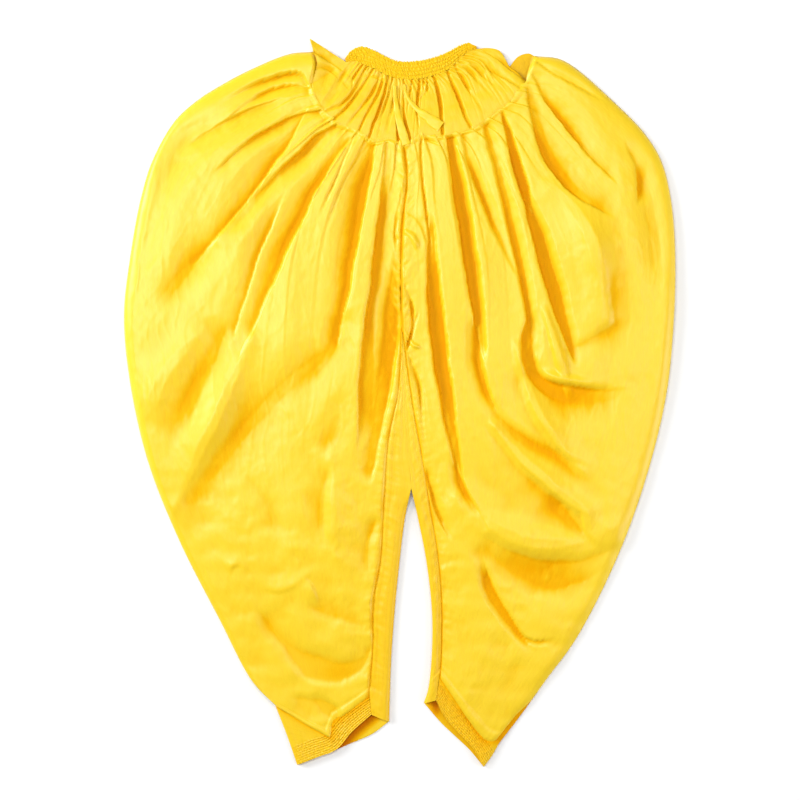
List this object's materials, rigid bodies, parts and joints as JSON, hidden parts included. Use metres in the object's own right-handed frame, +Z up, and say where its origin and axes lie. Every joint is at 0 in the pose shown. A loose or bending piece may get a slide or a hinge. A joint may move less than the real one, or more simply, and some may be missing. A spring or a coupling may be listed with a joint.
{
  "type": "punjabi pants",
  "caption": "Wide pleated cotton trousers with a shirred elastic waist, a gathered yoke, a flat drawstring and narrow stitched cuffs, laid flat.",
  "frame": {"origin": "under the middle of the garment's outline, on the surface that it lies on", "axes": "+Y from the cuffs to the waist, +Z up from the surface through the front, +X towards the side on the right as the front is seen from above"},
  "size_m": [0.7734, 1.021, 0.0212],
  "materials": {
    "cotton": "crisp plain-weave cotton",
    "casing": "shirred cotton over elastic",
    "tape": "flat cotton drawstring"
  },
  "bodies": {
    "root": {"waistband_front": "casing", "waistband_back": "casing", "yoke_front": "cotton", "yoke_back": "cotton", "left_leg_front": "cotton", "left_leg_back": "cotton", "right_leg_front": "cotton", "right_leg_back": "cotton", "left_inside_strip": "cotton", "right_inside_strip": "cotton", "left_cuff_front": "cotton", "left_cuff_back": "cotton", "right_cuff_front": "cotton", "right_cuff_back": "cotton", "drawstring_left_end": "tape", "drawstring_right_end": "tape"}
  },
  "joints": []
}
